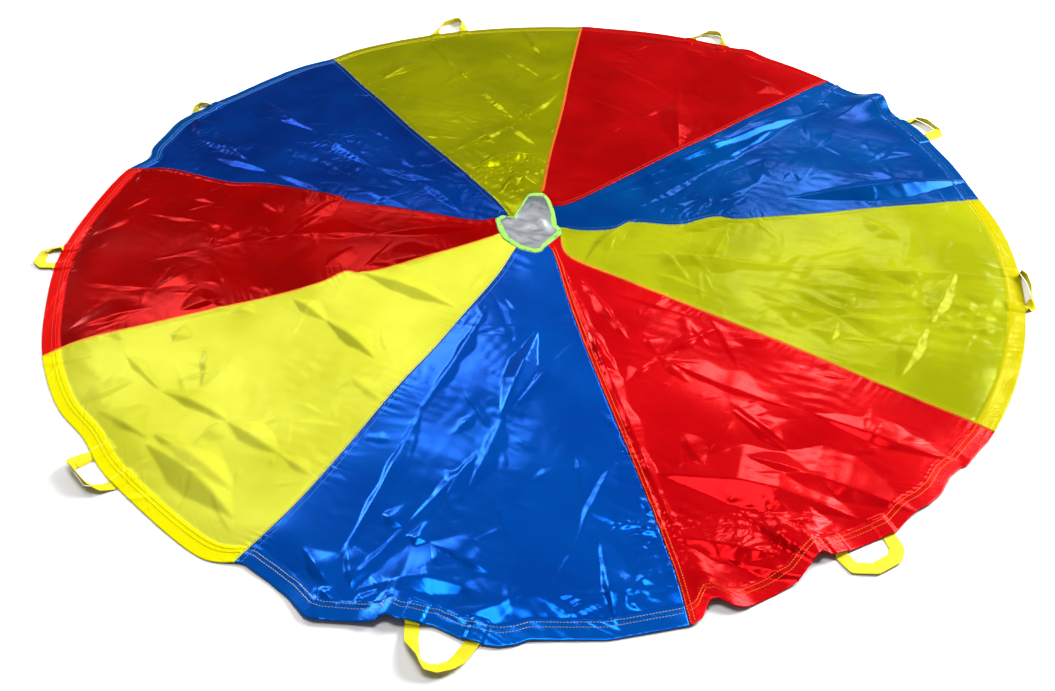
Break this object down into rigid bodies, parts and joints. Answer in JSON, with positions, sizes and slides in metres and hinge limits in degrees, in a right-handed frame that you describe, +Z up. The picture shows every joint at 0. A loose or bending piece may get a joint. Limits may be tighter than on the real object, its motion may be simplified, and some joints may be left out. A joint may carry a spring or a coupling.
{
  "type": "play parachute",
  "caption": "Round cloth of sewn wedge panels in red, yellow and blue with a net centre and webbing loop handles at the hem, lying spread on a floor.",
  "frame": {"origin": "on the floor under the middle of the centre net, on the net's flat underside", "axes": "+Z up from the floor, -Y towards the panel_9_blue hem, +X towards the panel_2_yellow hem"},
  "size_m": [1.8504, 1.8575, 0.0331],
  "materials": {
    "red_taffeta": "coated taffeta, glossy and creased",
    "yellow_taffeta": "coated taffeta, glossy and creased",
    "blue_taffeta": "coated taffeta, glossy and creased",
    "yellow_webbing": "flat woven webbing",
    "grey_net": "fine knitted net",
    "green_tape": "overlocked tape"
  },
  "bodies": {
    "root": {"panel_1_red": "red_taffeta", "panel_2_yellow": "yellow_taffeta", "panel_3_blue": "blue_taffeta", "panel_4_red": "red_taffeta", "panel_5_yellow": "yellow_taffeta", "panel_6_blue": "blue_taffeta", "panel_7_red": "red_taffeta", "panel_8_yellow": "yellow_taffeta", "panel_9_blue": "blue_taffeta", "handle_1": "yellow_webbing", "handle_2": "yellow_webbing", "handle_3": "yellow_webbing", "handle_4": "yellow_webbing", "handle_5": "yellow_webbing", "handle_6": "yellow_webbing", "handle_7": "yellow_webbing", "handle_8": "yellow_webbing", "handle_9": "yellow_webbing", "net": "grey_net", "net_binding": "green_tape"}
  },
  "joints": []
}
